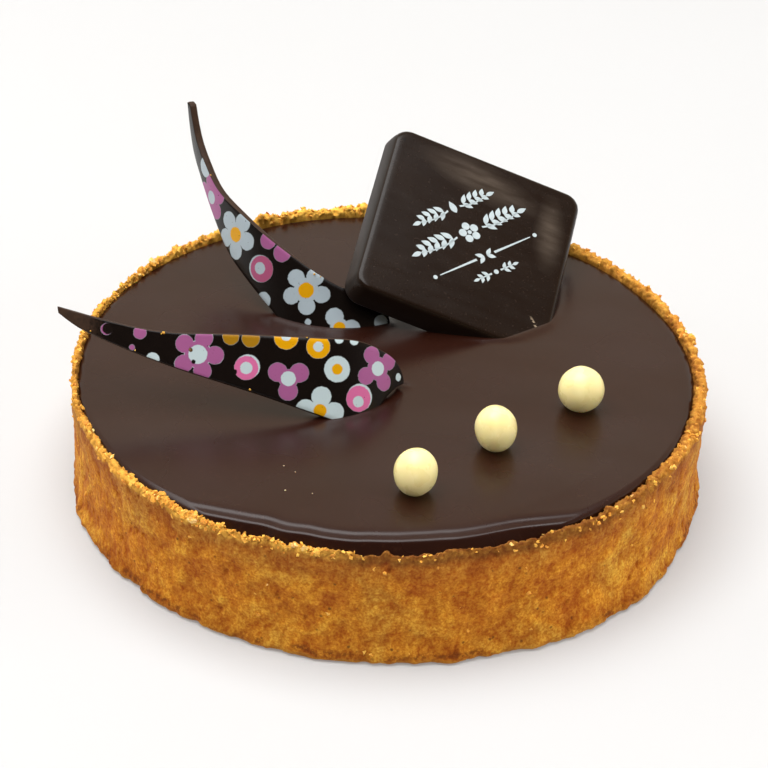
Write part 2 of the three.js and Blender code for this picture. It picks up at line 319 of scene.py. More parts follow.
for inset in (30, 12, 3, 1.4, 0.9, 0.5):  # the flat underside, out to the rounded foot
    case_row(wall_radius(0) - inset, 0 if inset > 1 else 0.12 * (1.4 - inset) ** 2, 0, 0, 0.5 if inset < 1.2 else 0)
shoulder, wall_rows, crest_rows = 0.945, 36, 14
for row in range(wall_rows):
    share = 0.022 + (shoulder - 0.022) * row / (wall_rows - 1)
    case_row(wall_radius(share) - (0.2 if row == 0 else 0), share * rim_top, smoothstep(share, 0.925, 0.975),
             0.75 * smoothstep(share, 0.885, 0.96) * stain_round, 1)
inner_top = ganache_radius(angle) + 0.14
for row in range(1, crest_rows + 1):  # over the rim, from the wall's shoulder to just inside the crest
    across = 0.5 - 0.5 * math.cos(math.pi * 0.93 * row / crest_rows)
    rise = (1 - abs(2 * across - 1) ** 2.6) ** (1 / 2.6)
    case_row(wall_radius(shoulder + 0.05 * rise) * (1 - across) + (inner_top + 0.1) * across,
             rim_top * (shoulder + (1 - shoulder) * rise), 1,
             np.maximum(stain_round * (0.75 + 0.25 * across), inner_stain * smoothstep(across, 0.6, 0.95)), 1)
for drop, weight in ((0.12, 0.6), (0.4, 0.3), (0.8, 0.1)):  # down the inside, to below the ganache's edge
    case_row(inner_top, np.minimum(ganache_height(angle, 0.0) + 0.1, 0.955 * rim_top) - drop, weight,
             np.maximum(stain_round, inner_stain), weight)
for share in (0.35, 0.7, 1.0):
    case_row(inner_top * (1 - share) + (CASE_RADIUS - WALL_FOOT_THICKNESS) * share,
             (GANACHE_TOP - 1.4) * (1 - share) + FLOOR_THICKNESS * share, 0, 1, 0)
rings, *weights = zip(*case_rows)
case_mesh = skin("pastry_case_plain", rings)
for name, weight in zip(("rim", "fresh", "stain", "relief"), weights):
    store(case_mesh, name, np.append(weight, [0, 0]))

# Baked shortcrust: a dry, matt crust of fused crumbs, mottled from straw yellow to orange brown,
# greyer near the rim and browner at the foot, with painted shade in its creases and pores, and a lighter
# crest where the rim is freshly broken, with a painted highlight along the back. It scatters light, so it has no
# sheen.
shortcrust, tree, where = finish_named("baked_sweet_shortcrust")
height = node(tree, "SeparateXYZ", [where]).outputs["Z"]
grain, fresh, stain = (node(tree, "Attribute", attribute_name=name).outputs["Fac"]
                       for name in ("grain", "fresh", "stain"))
# baking patches about 5 mm across
patches = node(tree, "TexNoise", {"Vector": where, "Scale": 165, "Detail": 4, "Roughness": 0.55, "Distortion": 0.6})
mottle = node(tree, "TexNoise", [where, 1500, 4, 0.65])
fine = node(tree, "TexNoise", [where, 3300, 2, 0.6])
bake = node(tree, "ValToRGB", [patches], stops=((0.25, "#CE862E"), (0.5, "#DFA233"), (0.75, "#EAC452")))
level = node(tree, "Math ADD", [height, ("Math MULTIPLY", [patches, 0.006])])
upper = node(tree, "MapRange", [level, 0.0135, 0.017, 0, 0.7])
lower = node(tree, "MapRange", [level, 0.0062, 0.003, 0, 0.5])
mottled = node(tree, "Mix RGBA", [("MapRange", [mottle, 0.34, 0.62]), "#D6A468", (1, 1, 0.96, 1)])
pepper = node(tree, "Mix RGBA", [("MapRange", [fine, 0.36, 0.62]), "#D09A5E", (1.06, 1.06, 1.04, 1)])
# Painted shade: the crust is darkened where its relief sinks, in the recesses between lumps and crumbs.
recess_shade = node(tree, "Mix RGBA", [("MapRange", [grain, -0.25, 0.22]), "#AE6A2C", (1, 1, 1, 1)])
broken = node(tree, "TexNoise", [where, 1000, 3, 0.6])
# Fresh crumbs and painted highlight: the crest is lighter where the rim is freshly broken, a little more where it
# stands proud, and brightest along the back, where the colour stands in for light falling on it.
crest = node(tree, "Math MULTIPLY", [fresh, ("MapRange", [grain, -0.8, 0.2, 0.7]),
             ("MapRange", [broken, 0.4, 0.6, 0.65])])
soaked = node(tree, "Math MULTIPLY", [stain, ("MapRange", [mottle, 0.35, 0.65, 1, 0.65])])
# Just over the foot, painted shade for a broken crevice where the dough folded under, and a paler ragged lip below it.
flat_where = node(tree, "Mapping", {"Vector": where, "Scale": (1, 1, 2.6)})
torn = node(tree, "TexNoise", [flat_where, 420, 3, 0.6])
fold = node(tree, "Math ADD", [("Math MULTIPLY", [torn, 0.0016]), height])
crevice_shade = node(tree, "Math MULTIPLY", [
    ("MapRange", [fold, 0.0015, 0.00185]), ("MapRange", [fold, 0.0026, 0.0021]),
    ("MapRange", [patches, 0.56, 0.48]), ("MapRange", [mottle, 0.54, 0.44, 0.05, 0.65])])
lip = node(tree, "Math MULTIPLY", [("MapRange", [fold, 0.0016, 0.0012]), 0.4])
# Painted shade: small dark dots for the shade inside the crust's pores.
pore_shade = node(tree, "MapRange", [("TexVoronoi", [where, 620]), 0.16, 0.08])
pore_shade = node(tree, "Math MULTIPLY", [pore_shade, ("MapRange", [mottle, 0.45, 0.55, 0, 0.8])])
tone = bake
for cover, over, blend in (
    (upper, "#B07A38", "MIX"), (lower, "#A5641F", "MIX"), (0.75, mottled, "MULTIPLY"), (0.65, pepper, "MULTIPLY"),
    (0.7, recess_shade, "MULTIPLY"), (crest, "#FFC452", "MIX"), (soaked, "#4E2209", "MIX"), (crevice_shade, "#5A2E10", "MIX"),
    (lip, "#C8943E", "MIX"), (pore_shade, "#5A2E10", "MIX"),
):
    tone = node(tree, "Mix RGBA", [cover, tone, over], blend_type=blend)
bumps = node(tree, "Bump", {"Strength": 0.8, "Distance": 0.00012, "Height": fine})
node(tree, "OutputMaterial", [("BsdfPrincipled", {
    "Base Color": tone, "Roughness": 0.7, "Specular IOR Level": 0.12, "Normal": bumps})])

# The crust's relief: lumps of dough about 2.5 mm across, fused crumbs under 1 mm, and pores.
sizes = {"Lump depth": 0.00013, "Crumb depth": 0.0001, "Rim depth": 0.0008, "Pore depth": 0.0003}
through = {"Geometry": "Geometry"}
tree, size = new_group("crumbly_relief", "Geometry", {**through, **dict.fromkeys(sizes, "Float")}, through)
place = node(tree, "GeometryNodeInputPosition")
lumps = node(tree, "TexNoise", [place, 380, 2])
crumbs = node(tree, "TexNoise", [place, 1250, 3, 0.6])
ridges = node(tree, "TexNoise", [place, 1400, 4, 0.65])
pits = node(tree, "TexVoronoi", [place, 520])
relief, rim = (node(tree, "GeometryNodeInputNamedAttribute", {"Name": name}) for name in ("relief", "rim"))


def centred(pattern, middle, *depths):
    """A pattern's value less its middle, times the depths."""
    return node(tree, "Math MULTIPLY", [("Math SUBTRACT", [pattern, middle]), *depths])


rough_rim = node(tree, "Math MULTIPLY", [rim, size["Rim depth"]])
hollow = node(tree, "MapRange", [pits, 0.2, 0.1])
scatter = node(tree, "MapRange", [lumps, 0.5, 0.42])
swell = node(tree, "Math ADD", [
    centred(lumps, 0.5, size["Lump depth"], 4), centred(crumbs, 0.5, size["Crumb depth"], 4),
    ("Math MULTIPLY", [centred(ridges, 0.47, 2.2), rough_rim]),
    ("Math MULTIPLY", [hollow, scatter, size["Pore depth"], -1])])
swell = node(tree, "Math MULTIPLY", [swell, relief])
out = node(tree, "VectorMath SCALE", [("GeometryNodeInputNormal",), swell])
kept = node(tree, "GeometryNodeStoreNamedAttribute", {"Geometry": size["Geometry"], "Name": "grain",
            "Value": ("Math MULTIPLY", [swell, 1 / 0.00045])})
moved = node(tree, "GeometryNodeSetPosition", {"Geometry": kept, "Offset": out})
joined = node(tree, "GeometryNodeRealizeInstances", [moved])
dressed = node(tree, "GeometryNodeSetMaterial", {"Geometry": joined, "Material": shortcrust})
node(tree, "NodeGroupOutput", [dressed])
plain_case = put("pastry_case_plain", case_mesh, shortcrust)
case_mesh = grown(plain_case, tree, sizes)
bpy.data.objects.remove(plain_case)
coordinates = np.empty(len(case_mesh.vertices) * 3, np.float32)
case_mesh.vertices.foreach_get("co", coordinates)
coordinates = coordinates.reshape(-1, 3)
coordinates[:, 2] = np.clip(coordinates[:, 2], 0, None)
case_mesh.vertices.foreach_set("co", coordinates.ravel())
pastry_case = put("pastry_case_crust", case_mesh, shortcrust)
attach(pastry_case, "root")
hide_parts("pastry_case")
by_the_table.objects.link(pastry_case)

# The crumbs that cling to the rim: broken bits of the same crust, a quarter of a millimetre to one
# across, all round the crest, with a few clumps of larger ones at the front left.
crumb_crust, tree, where = finish_named("golden_shortcrust_crumb")
shade = node(tree, "Attribute", attribute_name="shade").outputs["Fac"]
specks = node(tree, "TexNoise", [where, 2200, 3])
mixed = node(tree, "Math ADD", [shade, specks])
bake = node(tree, "ValToRGB", [("Math MULTIPLY", [mixed, 0.5])],
            stops=((0.2, "#C27E2C"), (0.42, "#E4A03A"), (0.7, "#ECB64E"), (0.95, "#FAE6B8")))
bumps = node(tree, "Bump", {"Strength": 0.7, "Distance": 0.0001, "Height": specks})
node(tree, "OutputMaterial", [("BsdfPrincipled", {
    "Base Color": bake, "Roughness": 0.75, "Specular IOR Level": 0.35, "Normal": bumps, "Subsurface Weight": 0.15,
    "Subsurface Scale": 0.0006})])

radius = np.hypot(coordinates[:, 0], coordinates[:, 1])
azimuth = np.arctan2(coordinates[:, 1], coordinates[:, 0])
top_here, fresh_and_highlit_here = (np.interp(azimuth % math.tau, np.append(angle, math.tau), np.append(values, values[0]))
                        for values in (rim_top * MM, fresh_and_highlit_round))
near_crest = np.exp(-(((coordinates[:, 2] - top_here) / 0.0007) ** 2)) * smoothstep(radius, 0.0386, 0.0391)
clumps = sum(np.exp(-(((azimuth - math.radians(a)) / math.radians(w)) ** 2)) for a, w in (
    (-103.5, 2.5), (-115, 3), (-123, 3), (-132, 4), (133, 2), (147, 4), (112, 3), (14, 3)))
elsewhere = 0.01 * (radius > 0.0392) * (coordinates[:, 2] > 0.001)
store(case_mesh, "crumbs_here", near_crest * (0.15 + 0.85 * fresh_and_highlit_here + 1.2 * clumps) + elsewhere)
store(case_mesh, "clumps_here", near_crest * clumps)

sizes = {"Crumbs per square metre": 2400000.0, "Smallest": 0.00012, "Largest": 0.0003, "Clumps alone": 0.0,
         "Facets": 1, "Seed": 7}
kinds = {name: "Int" if isinstance(value, int) else "Float" for name, value in sizes.items()}
tree, size = new_group("clinging_crumbs", "Geometry", {**through, **kinds}, through)
everywhere, clumped = (node(tree, "GeometryNodeInputNamedAttribute", {"Name": name})
                       for name in ("crumbs_here", "clumps_here"))
here = node(tree, "Mix", [size["Clumps alone"], everywhere, clumped])
density = node(tree, "Math MULTIPLY", [here, size["Crumbs per square metre"]])
spots = node(tree, "GeometryNodeDistributePointsOnFaces", {"Mesh": size["Geometry"], "Density": density,
             "Seed": size["Seed"]})
crumb = node(tree, "GeometryNodeMeshIcoSphere", {"Radius": 1, "Subdivisions": size["Facets"]})
turn = node(tree, "FunctionNodeRandomValue", {0: (0, 0, 0), 1: (6.28, 6.28, 6.28), "Seed": size["Seed"]},
            data_type="FLOAT_VECTOR")
girth = node(tree, "FunctionNodeRandomValue", {2: size["Smallest"], 3: size["Largest"], "Seed": 3})
squash = node(tree, "FunctionNodeRandomValue", {0: (0.7, 0.7, 0.6), 1: (1.3, 1.2, 1), "Seed": 5},
              data_type="FLOAT_VECTOR")
scale = node(tree, "VectorMath SCALE", [squash, girth])
placed = node(tree, "GeometryNodeInstanceOnPoints", {"Points": spots, "Instance": crumb, "Rotation": turn,
              "Scale": scale})
shade = node(tree, "FunctionNodeRandomValue", {2: 0, 3: 1, "Seed": 11})
placed = node(tree, "GeometryNodeStoreNamedAttribute", {"Geometry": placed, "Name": "shade", "Value": shade},
              domain="INSTANCE")
joined = node(tree, "GeometryNodeRealizeInstances", [placed])
place = node(tree, "GeometryNodeInputPosition")
knobs = node(tree, "TexNoise", [place, 3300, 2]).outputs["Color"]
knobs = node(tree, "VectorMath SUBTRACT", [knobs, (0.5, 0.5, 0.5)])
knobs = node(tree, "VectorMath SCALE", [knobs, 0.001])
broken = node(tree, "GeometryNodeSetPosition", {"Geometry": joined, "Offset": knobs})
dressed = node(tree, "GeometryNodeSetMaterial", {"Geometry": broken, "Material": crumb_crust})
node(tree, "NodeGroupOutput", [dressed])
coarse = {**sizes, "Crumbs per square metre": 750000.0, "Smallest": 0.00028, "Largest": 0.00052,
          "Clumps alone": 1.0, "Facets": 2, "Seed": 4}
for name, chosen in (("rim_crumbs_fine", sizes), ("rim_crumbs_coarse", coarse)):
    crumbs = put(name, grown(pastry_case, tree, chosen), crumb_crust)
    crumbs.data.shade_flat()
    by_the_table.objects.link(crumbs)
    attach(crumbs, "root")


# The two blades: thin sheets of dark chocolate, spread on a printed sheet, cut to leaf shapes and
# curled before they set, then pushed upright into the soft ganache. Flowers and rings of coloured
# cocoa butter are on the outer side, and the cut edge and the back are plain.
BLADE_THICKNESS = 0.95
BLADES = {
    "blade_front": dict(
        place=(-22, -10.07, 19.8), lean=56.65, slew=0, side=1, length=29, power=2.5, back=math.inf,
        top=[(25.7, 0.1), (25.2, 1.1), (24, 2.35), (22.1, 3.4), (18.3, 4.65), (12.9, 4.85), (3.8, 5),
             (-5.3, 5.05), (-11.4, 6), (-18.5, 7.75)],
        low=[(25.7, -0.3), (24.2, -0.8), (22.4, -2.2), (20.9, -4), (18.4, -6), (15.2, -4.9), (6.4, -2.1),
             (-3.9, 0.9), (-10.1, 3.05), (-15.4, 5.25), (-18.4, 7.2)]),
    "blade_rear": dict(
        place=(-6.76, 9.18, 14.67), lean=56.65, slew=13.6, side=-1, length=19.5, power=1, back=18,
        top=[(-6.9, 1.3), (-4.6, 4.2), (-1.5, 5.4), (2.2, 9), (5.8, 13), (9.5, 17.35), (13, 21.4),
             (14.7, 25), (15.9, 29), (15.6, 33.3)],
        low=[(-6.9, -0.9), (-3.5, -2.6), (2, -2.1), (6, 1), (8.1, 4.7), (10.5, 8.4), (13.6, 13.3),
             (15.5, 18.4), (17.1, 23.8), (17.9, 28), (16.2, 33.8)]),
}


def evenly_along(corners, count):
    """Points at equal steps along the smooth line through the corners, as the part's source has them."""
    p = np.array(corners, float)
    last = len(p) - 1
    t = np.linspace(0, last, 60 * last + 1)
    i = np.minimum(t.astype(int), last - 1)
    u = (t - i)[:, None]
    p0, p1, p2, p3 = p[np.maximum(i - 1, 0)], p[i], p[i + 1], p[np.minimum(i + 2, last)]
    v0, v1 = (p2 - p0) / 2, (p3 - p1) / 2
    line = (2 * p1 - 2 * p2 + v0 + v1) * u**3 + (-3 * p1 + 3 * p2 - 2 * v0 - v1) * u**2 + v0 * u + p1
    run = np.append(0, np.cumsum(np.linalg.norm(np.diff(line, axis=0), axis=1)))
    at = np.linspace(0, run[-1], count + 1)
    return np.stack([np.interp(at, run, line[:, k]) for k in (0, 1)], 1)


def curl_tables(blade):
    """How far across and how deep the sheet's middle is, and its heading, at each distance along it."""
    s = np.linspace(-22, 32, 2161)
    steady = s / blade["back"]
    heading = np.where(s > 0, math.radians(80) * (np.maximum(s, 0) / blade["length"]) ** blade["power"], steady)
    step = s[1] - s[0]
    middle = (heading[1:] + heading[:-1]) / 2
    across = np.append(0, np.cumsum(np.cos(middle) * step))
    depth = np.append(0, -np.cumsum(np.sin(middle) * step))
    return s, across - np.interp(0, s, across), depth - np.interp(0, s, depth), heading


def curled(blade, tables, flat, heights):
    """Where points of a blade's flat sheet, at heights off its middle, lie once it is curled and in its place."""
    across, depth, heading = (np.interp(flat[:, 0], tables[0], tables[k]) for k in (1, 2, 3))
    sheet = np.stack([blade["side"] * (across + heights * np.sin(heading)), flat[:, 1],
                      depth + heights * np.cos(heading)], 1)
    lean, slew = (Matrix.Rotation(math.radians(blade[turn]), 3, axis) for turn, axis in (("lean", "X"), ("slew", "Z")))
    return sheet @ np.array(lean @ slew).T + np.array(blade["place"], float)


def lay_flat(mesh, name, flats):
    """Gives a mesh a UV map, with a flat place in mm for each of its points."""
    corner = np.empty(len(mesh.loops), np.int32)
    mesh.loops.foreach_get("vertex_index", corner)
    mesh.uv_layers.new(name=name).data.foreach_set("uv", flats[corner].astype(np.float32).ravel())


def blade_mesh(name, blade, stations=170, across_steps=16, edge_steps=5):
    """A blade's sheet in its place, with its flat measures in mm as its UV map and its printed side marked."""
    half, ramp = BLADE_THICKNESS / 2, np.linspace(0, 1, across_steps + 1)
    round_edge = np.linspace(math.pi / 2, -math.pi / 2, edge_steps + 2)[1:-1]
    # Round the sheet's section: (share of its width, reach past its edge, height, whether it is printed).
    section = [(share, 0, half, 1) for share in ramp]
    section += [(1, 0.16 * math.cos(turn), half * math.sin(turn), 0) for turn in round_edge]
    section += [(share, 0, -half, 0) for share in ramp[::-1]]
    section += [(0, -0.16 * math.cos(turn), half * math.sin(turn), 0) for turn in round_edge[::-1]]
    shares, reaches, heights, printed = np.array(section).T
    tables = curl_tables(blade)
    rings, flats = [], []
    for upper, lower in zip(evenly_along(blade["top"], stations), evenly_along(blade["low"], stations)):
        width = upper - lower
        outward = width / max(np.linalg.norm(width), 1e-6)
        flats.append(lower + np.outer(shares, width) + np.outer(reaches, outward))
        rings.append(curled(blade, tables, flats[-1], heights))
    mesh = skin(name, rings)
    lay_flat(mesh, "sheet", np.vstack([*flats, flats[0].mean(0), flats[-1].mean(0)]))
    store(mesh, "printed", np.append(np.tile(printed, len(rings)), [0, 0]))
    return mesh


def print_group(name, *more):
    """A node group for one shape of the print, with the shape's own numbers by name, and what it is given."""
    given = {"Under": "Color", "Under Cover": "Float", "Sheet": "Vector", "Centre": "Vector", "Radius": "Float",
             "Ink": "Color", **dict.fromkeys(more, "Float")}
    return new_group(name, "Shader", given, {"Colour": "Color", "Cover": "Float"})


def lay_ink(tree, given, gap):
    """Ends a print group: its ink covers what is below it wherever the gap, in mm in from its edge, is over 0."""
    inside = node(tree, "MapRange", [gap, -0.05, 0.05])
    laid = node(tree, "Mix RGBA", [inside, given["Under"], given["Ink"]])
    node(tree, "NodeGroupOutput", [laid, ("Math MAXIMUM", [inside, given["Under Cover"]])])


dot, given = print_group("printed_dot")
away = node(dot, "VectorMath DISTANCE", [given["Sheet"], given["Centre"]])
lay_ink(dot, given, node(dot, "Math SUBTRACT", [given["Radius"], away]))

# A ring of round petals about a centre: the sheet is folded so that one petal stands for them all.
petals, given = print_group("printed_petals", "Petals", "Turn", "Reach")
tree = petals
away = node(tree, "VectorMath SUBTRACT", [given["Sheet"], given["Centre"]])
parts = node(tree, "SeparateXYZ", [away]).outputs
around = node(tree, "Math ARCTAN2", [parts["Y"], parts["X"]])
around = node(tree, "Math SUBTRACT", [around, given["Turn"]])
sector = node(tree, "Math DIVIDE", [math.tau, given["Petals"]])
nearest = node(tree, "Math ROUND", [("Math DIVIDE", [around, sector])])
folded = node(tree, "Math SUBTRACT", [around, ("Math MULTIPLY", [nearest, sector])])
out = node(tree, "VectorMath LENGTH", [away])
along = node(tree, "Math MULTIPLY", [out, ("Math COSINE", [folded])])
aside = node(tree, "Math MULTIPLY", [out, ("Math SINE", [folded])])
along = node(tree, "Math SUBTRACT", [along, given["Reach"]])
off = node(tree, "VectorMath LENGTH", [("CombineXYZ", [along, aside])])
petal_gap = node(tree, "Math SUBTRACT", [given["Radius"], off])
core_gap = node(tree, "Math SUBTRACT", [("Math MULTIPLY", [given["Reach"], 0.78]), out])
lay_ink(tree, given, node(tree, "Math MAXIMUM", [petal_gap, core_gap]))

ORCHID, PINK, WHITE, MUSTARD, OCHRE, CHIP, SHADED_WHITE, SHADED_PINK = (linear(colour) for colour in (
    "#A95F92", "#DE70A4", "#C9DADD", "#EAA808", "#AC7C16", "#19110E", "#B6C4CC", "#B4587E"))
# Each motif: (x, y) of its centre on the flat sheet in mm, then its layers from the lowest up. A layer
# is (colour, radius) or (colour, radius, shift) for a dot, and (colour, radius, reach, petals, turn).
PRINT = {
    "blade_front": [
        ((-1.25, 2.52), (WHITE, 1.02, 2.16, 5, -3), (ORCHID, 1.1, 2.08, 5, -1), (WHITE, 1.15)),
        ((4.67, 1.03), (WHITE, 1.5, (0.16, 0.16)), (PINK, 1.46), (WHITE, 0.75)),
        ((9.8, -0.12), (ORCHID, 1.17, 1.5, 3, 30), (WHITE, 0.9)),
        ((9.39, 4.88), (MUSTARD, 1.46), (WHITE, 0.6, (0, 0.19))),
        ((13.31, 3.88), (MUSTARD, 1.45), (WHITE, 0.62)),
        ((15.71, 1.21), (WHITE, 1.6), (MUSTARD, 0.66)),
        ((13.74, -3.93), (WHITE, 1.22, 1.75, 4, 86), (MUSTARD, 0.8)),
        ((18.56, -2.33), (WHITE, 1.66, (0.14, 0.16)), (PINK, 1.6), (WHITE, 0.7, (-0.04, -0.37))),
        ((21.12, 1.43), (ORCHID, 1.08, 1.9, 4, 30), (WHITE, 0.9)),
        ((2.69, 4.78), (OCHRE, 1.0)),
        ((5.12, 4.66), (OCHRE, 1.1)),
        ((-8.37, 4.98), (ORCHID, 0.8)),
        ((-12.45, 5.29), (ORCHID, 0.72), (CHIP, 0.68, (0.16, 0.06))),
        ((-9.29, 3.13), (ORCHID, 0.35)),
        ((-6.76, 1.75), (WHITE, 0.85)),
        ((15.85, 4.88), (WHITE, 0.55)),
        ((17.76, 4.75), (WHITE, 0.55)),
        ((24.55, 0.45), (WHITE, 0.5)),
        ((3.25, 0.5), (CHIP, 0.34)),
        ((-1.75, 1.62), (CHIP, 0.26)),
        ((-2.15, 3.05), (linear("#5A4028"), 0.26), (linear("#8A6A48"), 0.14, (-0.1, 0.05))),
    ],
    "blade_rear": [
        ((14.98, 20.77), (ORCHID, 1.2, 1.9, 5, 110), (SHADED_WHITE, 0.9)),
        ((14.97, 24.81), (SHADED_WHITE, 1.3)),
        ((11.3, 15.12), (SHADED_WHITE, 1.2, 2.1, 5, 72), (MUSTARD, 1.0)),
        ((8.2, 9.9), (SHADED_WHITE, 1.78, (0.16, 0.08)), (SHADED_PINK, 1.72), (SHADED_WHITE, 0.8, (0.2, 0.15))),
        ((6.36, 13.27), (ORCHID, 1.1)),
        ((4.84, 11.28), (ORCHID, 1.15)),
        ((2.77, 5.9), (SHADED_WHITE, 1.1, 2.05, 5, 64), (MUSTARD, 1.0)),
        ((8.83, 5.91), (SHADED_WHITE, 1.05)),
        ((-0.37, 0.31), (SHADED_WHITE, 1.15, 1.5, 3, 78), (MUSTARD, 0.75)),
        ((3.36, 1.86), (SHADED_WHITE, 0.4)),
        ((-5.73, -0.09), (SHADED_WHITE, 0.9)),
    ],
}


def printed_chocolate(name, motifs):
    """Dark chocolate moulded on a smooth sheet: near black and softly glossy, with the print's colours in
    its outer skin, a browner dusty cut edge, and a few chips where the print has lifted."""
    finish, tree, where = finish_named(name)
    flat = node(tree, "UVMap", uv_map="sheet")
    ragged = node(tree, "TexNoise", [flat, 3, 2]).outputs["Color"]
    ragged = node(tree, "VectorMath SUBTRACT", [ragged, (0.5, 0.5, 0.5)])
    ragged = node(tree, "VectorMath SCALE", [ragged, 0.16])
    sheet = node(tree, "VectorMath ADD", [flat, ragged])
    sheet = node(tree, "VectorMath MULTIPLY", [sheet, (1, 1, 0)])
    colour, cover = None, None
    for centre, *layers in motifs:
        for layer in layers:
            flower = len(layer) == 5
            shift = layer[2] if len(layer) == 3 else (0, 0)
            inputs = {"Sheet": sheet, "Centre": (centre[0] + shift[0], centre[1] + shift[1], 0), "Radius": layer[1],
                      "Under": colour or WHITE, "Under Cover": cover or 0, "Ink": layer[0]}
            if flower:
                inputs.update({"Reach": layer[2], "Petals": layer[3], "Turn": math.radians(layer[4])})
            new = node(tree, "Group", inputs, node_tree=petals if flower else dot)
            colour = new.outputs["Colour"]
            if layer[0] is not CHIP:  # a chip bares the chocolate, it adds no print
                cover = new.outputs["Cover"]
    wear = node(tree, "TexNoise", [flat, 2.4, 5, 0.6])
    printed = node(tree, "Attribute", attribute_name="printed").outputs["Fac"]
    skin_side = node(tree, "MapRange", [printed, 0.55, 0.85])
    cover = node(tree, "Math MULTIPLY", [cover, skin_side, ("MapRange", [wear, 0.31, 0.33])])
    along = node(tree, "SeparateXYZ", [sheet]).outputs["X"]
    along = node(tree, "Math ADD", [along, ("Math MULTIPLY", [wear, 5]), -2.5])
    skin_side = node(tree, "Math MULTIPLY", [skin_side, ("MapRange", [along, -15.2, -12.8])])
    dust = node(tree, "TexNoise", [where, 1500, 3])
    bare = node(tree, "Mix RGBA", [dust, "#26180F", "#4A3222"])
    skin_tone = node(tree, "Mix RGBA", [dust, "#0F0907", "#160E0B"])
    chocolate = node(tree, "Mix RGBA", [skin_side, bare, skin_tone])
    tone = node(tree, "Mix RGBA", [cover, chocolate, colour])
    gloss = node(tree, "Mix", [skin_side, 0.6, 0.26])
    wave = node(tree, "TexNoise", [where, 260, 1])
    bumps = node(tree, "Bump", {"Strength": 0.25, "Distance": 0.00015, "Height": wave})
    node(tree, "OutputMaterial", [("BsdfPrincipled", {
        "Base Color": tone, "Roughness": gloss, "Specular IOR Level": 0.27, "Normal": bumps})])
    return finish


for name, blade in BLADES.items():
    mesh = blade_mesh(name + "_leaf", blade)
    leaf = put(name + "_leaf", mesh, printed_chocolate(name + "_printed_dark_chocolate", PRINT[name]))
    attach(leaf, "root")
    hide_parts(name)


# The plaque: a square of dark chocolate set in a shallow mould, with round corners and sloped sides,
# pushed at a slant into the ganache. Its shiny face carries a thin white print of cocoa butter.
PLAQUE_SIDE, PLAQUE_CORNER = 25.8, 1.4
# From the face's edge, round it and down the side: (mm out from the square, mm down from the face).
PLAQUE_ROWS = [(-0.35, 0), (-0.02, 0.04), (0.22, 0.2), (0.38, 0.45), (0.55, 0.95), (0.76, 1.8), (0.95, 2.9),
               (1, 3.2), (0.95, 3.4), (0.75, 3.5)]
lean, slew, slip = (Matrix.Rotation(math.radians(turn), 4, axis)
                    for turn, axis in ((26.5, "X"), (17.6, "Y"), (-11.9, "Z")))
plaque_stance = Matrix.Translation(Vector((10.35, 19.6, 22.8)) * MM) @ lean @ slew @ slip


def rounded_square(side, corner, height, in_corner=12, shaded_sides=24):
    """A square ring with round corners at one height, in mm, with points along its sides as well."""
    reach, points = side / 2 - corner, []
    middles = [(reach, reach), (-reach, reach), (-reach, -reach), (reach, -reach)]
    for quarter, (x, y) in enumerate(middles):
        for i in range(in_corner + 1):
            turn = quarter * math.pi / 2 + i / in_corner * math.pi / 2
            points.append((x + corner * math.cos(turn), y + corner * math.sin(turn), height))
        here, (x, y) = Vector(points[-1]), middles[(quarter + 1) % 4]
        there = Vector((x + corner * math.cos(turn), y + corner * math.sin(turn), height))
        points += [tuple(here.lerp(there, k / shaded_sides)) for k in range(1, shaded_sides)]
    return points


profile = evenly_along(PLAQUE_ROWS, 30)
profile[:, 0] = np.minimum(profile[:, 0], 1.0)
profile[:, 1] = np.clip(profile[:, 1], 0, 3.5)
face_rows = [(-12.6 + 12.2 * k / 24, 0) for k in range(24)]
rings = [rounded_square(PLAQUE_SIDE + 2 * out, max(0.05, PLAQUE_CORNER + 0.45 + out * 0.6), -depth)
         for out, depth in [*face_rows, *profile]]
rings += [rounded_square(PLAQUE_SIDE + 2 * out, 1.2, -3.5) for out in (0.2, -2, -6)]
plaque_mesh = skin("plaque_tablet", rings)
lay_flat(plaque_mesh, "face", np.array([tuple(v.co / MM)[:2] for v in plaque_mesh.vertices]))
plaque_mesh.transform(plaque_stance)

# Tempered dark chocolate from a polished mould: near black, shiny, with a cloudy breath of bloom and a painted sheen
# towards the top corner, a scuff at the lower right, a pinhole left by a bubble painted as a dark dot of shade, and
# sides painted darker as shade.
moulded, tree, where = finish_named("moulded_dark_chocolate")
cloud = node(tree, "TexNoise", [where, 130, 4, 0.6])
face = node(tree, "UVMap", uv_map="face")
smear = node(tree, "Mapping", {"Vector": face, "Rotation": (0, 0, 0.2), "Scale": (0.22, 1, 1)})
streaks = node(tree, "TexNoise", [smear, 0.8, 4])
speckle = node(tree, "TexNoise", [where, 2600, 2])


def patch_at(x, y, wide, tall, turn, soft):
    """From 1 to 0 across the edge of an oval on the plaque's face, with its place and size in mm."""
    local = node(tree, "Mapping", {"Vector": face, "Location": (x, y, 0), "Rotation": (0, 0, math.radians(turn)),
                 "Scale": (wide, tall, 1)}, vector_type="TEXTURE")
    out = node(tree, "VectorMath LENGTH", [local])
    return node(tree, "MapRange", [out, 1, soft], interpolation_type="SMOOTHSTEP")


# Bloom and painted sheen: a greyer, lighter haze over the top of the face and down its right, partly bloom and partly
# a painted reflection.
bloom_and_sheen = node(tree, "Math MAXIMUM", [patch_at(-0.5, 9.6, 11, 3.6, -10, 0), patch_at(10, 5.5, 2.6, 7.5, 8, 0)])
bloom_and_sheen = node(tree, "Math MULTIPLY", [bloom_and_sheen, ("MapRange", [streaks, 0.3, 0.7, 0.35]), 0.9])
marks = node(tree, "Math MAXIMUM", [patch_at(10.9, -9, 1.5, 0.28, -50, 0.3),
             patch_at(11.6, -10.3, 0.9, 0.22, 20, 0.3)])
scuff = node(tree, "Math MULTIPLY", [marks, ("MapRange", [speckle, 0.5, 0.54])])
